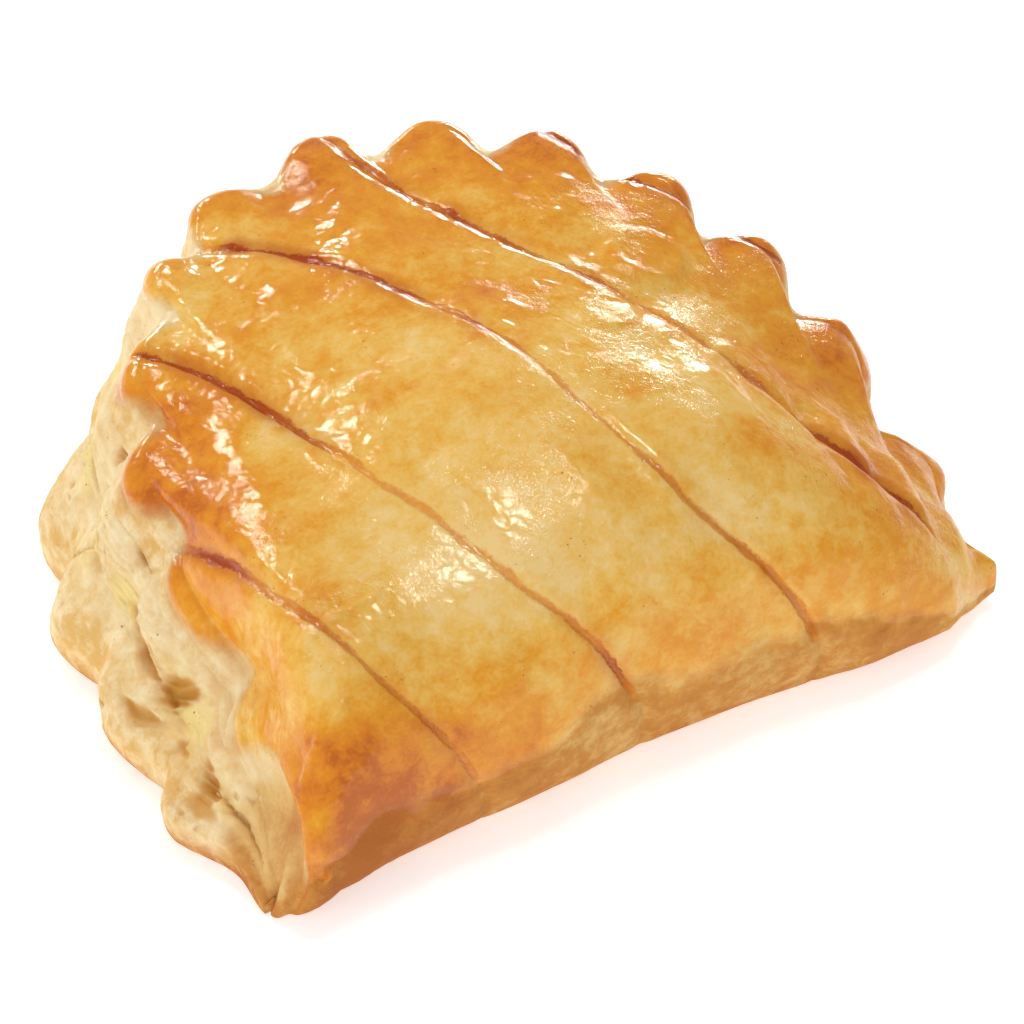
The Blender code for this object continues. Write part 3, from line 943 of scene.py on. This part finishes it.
def pastry_material(colours):
    """Glazed on top, matte along the fold, freckled cream where it is cut, brown underneath."""
    paint = Paint("pastry")
    bake, score, glaze, pale = (paint.field(n) for n in ("bake", "score", "glaze", "pale"))
    hollow, moist, brown, tray = (paint.field(n) for n in ("hollow", "moist", "brown", "tray"))
    broad = paint.grain(8, 4, distortion=0.6)
    mottle, fine = paint.grain(2.2, 4, distortion=0.4), paint.grain(0.6, 2)
    clouds, spots, dots = broad - 0.5, mottle - 0.5, fine - 0.5
    heat = bake + clouds * 0.7 + spots * 0.58 + dots * 0.34
    stops = (colours.palest, colours.yellow, colours.golden, colours.orange, colours.toasted)
    glazed = paint.ramp(heat, list(zip((0.0, 0.25, 0.52, 0.78, 1.0), stops)))
    stops = [(0.05, colours.blond), (0.38, colours.matte), (0.9, colours.tan)]
    side = paint.ramp(heat + spots * 0.2, stops)
    colour = paint.mix(glaze, side, glazed)
    row = paint.field("row") * math.pi
    turn = row.maths("SINE", row)
    away = turn.maths("ABSOLUTE", turn) * (SCORE_SPACING / math.pi / MM)
    ragged = away + spots * 1.1 + dots * 0.7
    there = score.step(0.0, 0.02)
    line = (1 - ragged.step(0.2, 0.75)) * there
    halo = (1 - away.step(0.2, 3.6)) * score.step(0.25, 0.9)
    hot = score.step(0.15, 0.65)
    for mask, tint in (
        ((halo * (1.6 * broad - 0.15)).clamped(), colours.toasted),
        (line * 0.75, colours.orange),
        (line * hot * 0.8, colours.toasted),
        (line * score.step(0.4, 0.9) * 0.95, colours.burnt),
        (line * (1 - hot) * (fine * 1.2 - 0.45).clamped(), colours.yellow),
    ):
        colour = paint.mix(mask, colour, tint)

    freckle = spots * 1.8 + clouds * 1.6 + dots * 0.6 + 0.25
    freckle = freckle * (0.3 + bake) + bake * 0.35
    cut = paint.mix(freckle.clamped(), colours.cream, colours.fawn)
    cut = paint.mix(moist * (0.7 + 0.6 * fine), cut, colours.moist)
    # amber in the hollows and recesses of the cut edge: partly its own colour, partly painted shade
    cut = paint.mix(hollow, cut, colours.amber_and_shade)
    colour = paint.mix((pale + spots * pale * (1 - pale) * 2.0).clamped(), colour, cut)
    golden_foot = paint.mix(mottle.step(0.35, 0.7), colours.matte, colours.tan)
    colour = paint.mix((brown * (0.55 + 0.9 * mottle)).clamped(), colour, golden_foot)
    under = paint.mix(broad.step(0.35, 0.65), colours.tray, colours.orange)
    colour = paint.mix(tray, colour, under)
    speck = paint.grain(0.45, 0).step(0.78, 0.81) * paint.grain(5, 0).step(0.66, 0.7)
    colour = paint.mix(speck * 0.7, colour, colours.burnt)

    wet = (glaze.step(0.15, 0.6) * (0.8 + 0.6 * broad) + moist * 0.6).clamped()
    roughness = 0.96 - 0.86 * wet + 0.04 * dots
    turned = {"Vector": paint.place, "Rotation": (0, 0, -SCORE_ANGLE)}
    along_cuts = paint.node("ShaderNodeMapping", None, turned)
    wrinkled = paint.grain(10, 2).step(0.4, 0.58) * paint.field("wrinkled")
    ripple = paint.grain(2.0, 1, distortion=0.5, place=along_cuts, stretch=(0.7, 1, 1))
    crinkle = paint.grain(0.45, 1, distortion=1.2) * (0.1 + 0.9 * wrinkled)
    crumb = paint.grain(0.7, 3) * (1 - 0.95 * glaze)
    normal = paint.bumps(1 - line * (0.35 + 0.65 * hot), 0.22)
    normal = paint.bumps(ripple, 0.17, normal)
    normal = paint.bumps(crinkle, 0.1, normal)
    normal = paint.bumps(crumb, 0.12, normal)
    varying = {"Base Color": colour, "Roughness": roughness, "Normal": normal}
    return paint.finish(varying, IOR=1.42)


# ------ operators


class TURNOVER_OT_crust(bpy.types.Operator):
    """Underside, rounded fold, scored and glazed top, and the skin that turns over the rim"""

    bl_idname = "turnover.crust"
    bl_label = "Crust"

    def execute(self, context):
        material = pastry_material(context.scene.turnover_colours)
        piece = add_piece("crust", crust_mesh(context.scene.turnover_form), material)
        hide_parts("turnover")
        return {"FINISHED"}


class TURNOVER_OT_cut_edge(bpy.types.Operator):
    """Laminated pastry of the cut edge: two soft sheets that meet at a waist"""

    bl_idname = "turnover.cut_edge"
    bl_label = "Cut edge"

    def execute(self, context):
        mesh = edge_mesh(context.scene.turnover_form)
        add_piece("cut_edge", mesh, bpy.data.materials["pastry"])
        return {"FINISHED"}


class TURNOVER_OT_stage(bpy.types.Operator):
    """Pale floor, soft studio light and the camera"""

    bl_idname = "turnover.stage"
    bl_label = "Stage"

    AZIMUTH, ELEVATION, DISTANCE = -29.565, 42.223, 0.6238
    LENS = 149.11
    AIM = (0.0022, 0.045, 0.015)
    LAMP_AIM = (0, 0, 0.02)
    FLOOR_SIZE, FLOOR_DROP, FLOOR_GLOW, SKY = 3, 0.0002, 0.5, 0.455

    def camera(self, context, shift):
        a, e = math.radians(self.AZIMUTH), math.radians(self.ELEVATION)
        back = Vector((math.sin(a) * math.cos(e), -math.cos(a) * math.cos(e), math.sin(e)))
        data = bpy.data.cameras.new("camera")
        data.lens, data.sensor_width = self.LENS, 36
        data.clip_start, data.clip_end = 0.01, 20
        camera = add_object("camera", data)
        place = Vector(self.AIM) + Vector(shift) + back * self.DISTANCE
        turn = back.to_track_quat("Z", "Y").to_matrix().to_4x4()
        camera.matrix_world = Matrix.Translation(place) @ turn
        context.scene.camera = camera

    # lamps that light the pastry without showing in its glaze: bearing from the back towards the
    # right and height in degrees, distance, size and power
    FILL = {
        "back": (5, 21, 1.2, 0.2, 2.5),
        "right": (42, 12, 1.2, 0.2, 2.2),
        "left": (-16, 43, 1.2, 0.2, 1.2),
        "top": (60, 78, 1.2, 0.2, 2.6),
        "front": (165, 28, 1.4, 0.6, 0.8),
        "wall": (-105, 24, 1.4, 0.8, 5.2),
    }
    # lamps at the same places that show only in the glaze: size and power
    GLINTS = {"back": (0.24, 10.5), "right": (0.26, 13.0), "left": (0.19, 7.0), "top": (0.2, 8.5)}
    WARM = (1.0, 0.96, 0.88)

    def light(self, name, bearing, height, distance, size, power):
        """A square softbox that faces the turnover."""
        bearing, height = math.radians(bearing), math.radians(height)
        flat = math.cos(height)
        towards = Vector((math.sin(bearing) * flat, math.cos(bearing) * flat, math.sin(height)))
        data = bpy.data.lights.new(name, "AREA")
        data.size, data.energy = size, power
        lamp = add_object(name, data)
        lamp.location = Vector(self.LAMP_AIM) + towards * distance
        lamp.rotation_euler = towards.to_track_quat("Z", "Y").to_euler()
        return lamp

    def execute(self, context):
        bm = bmesh.new()
        bmesh.ops.create_grid(bm, x_segments=1, y_segments=1, size=self.FLOOR_SIZE)
        mesh = bpy.data.meshes.new("floor")
        bm.to_mesh(mesh)
        bm.free()
        floor = add_object("floor", mesh)
        floor.location.z = -self.FLOOR_DROP
        glow = {"Emission_Color": (1, 1, 1, 1), "Emission_Strength": self.FLOOR_GLOW}
        grey = (0.86, 0.86, 0.86, 1)
        mesh.materials.append(Paint("floor").finish(Base_Color=grey, Roughness=0.9, **glow))
        for name, settings in self.FILL.items():
            self.light(name, *settings).visible_glossy = False
        for name, settings in self.GLINTS.items():
            lamp = self.light(f"{name} glint", *self.FILL[name][:3], *settings)
            lamp.visible_diffuse, lamp.data.color = False, self.WARM
        world = bpy.data.worlds.new("studio")
        world.use_nodes = True
        sky = world.node_tree.nodes["Background"].inputs
        sky["Color"].default_value, sky["Strength"].default_value = (1, 1, 1, 1), self.SKY
        context.scene.world = world
        context.scene.view_settings.view_transform = "Standard"
        self.camera(context, centring(context.scene.turnover_form))
        return {"FINISHED"}


PIECES = (TURNOVER_OT_crust, TURNOVER_OT_cut_edge, TURNOVER_OT_stage)


class TURNOVER_PT_panel(bpy.types.Panel):
    """Buttons that add the turnover's pieces"""

    bl_label = "Apple Turnover"
    bl_idname = "TURNOVER_PT_panel"
    bl_space_type = "VIEW_3D"
    bl_region_type = "UI"
    bl_category = "Turnover"

    def draw(self, context):
        for operator in PIECES:
            self.layout.operator(operator.bl_idname)
        for group in (context.scene.turnover_form, context.scene.turnover_colours):
            box = self.layout.box()
            for name in group.__annotations__:
                box.prop(group, name)


CLASSES = (TurnoverForm, TurnoverColours, *PIECES, TURNOVER_PT_panel)


def register():
    for cls in CLASSES:
        bpy.utils.register_class(cls)
    bpy.types.Scene.turnover_form = PointerProperty(type=TurnoverForm)
    bpy.types.Scene.turnover_colours = PointerProperty(type=TurnoverColours)


def unregister():
    del bpy.types.Scene.turnover_colours
    del bpy.types.Scene.turnover_form
    for cls in reversed(CLASSES):
        bpy.utils.unregister_class(cls)


def main():
    register()
    bpy.ops.turnover.crust()
    bpy.ops.turnover.cut_edge()
    bpy.ops.turnover.stage()


if __name__ == "__main__":
    main()
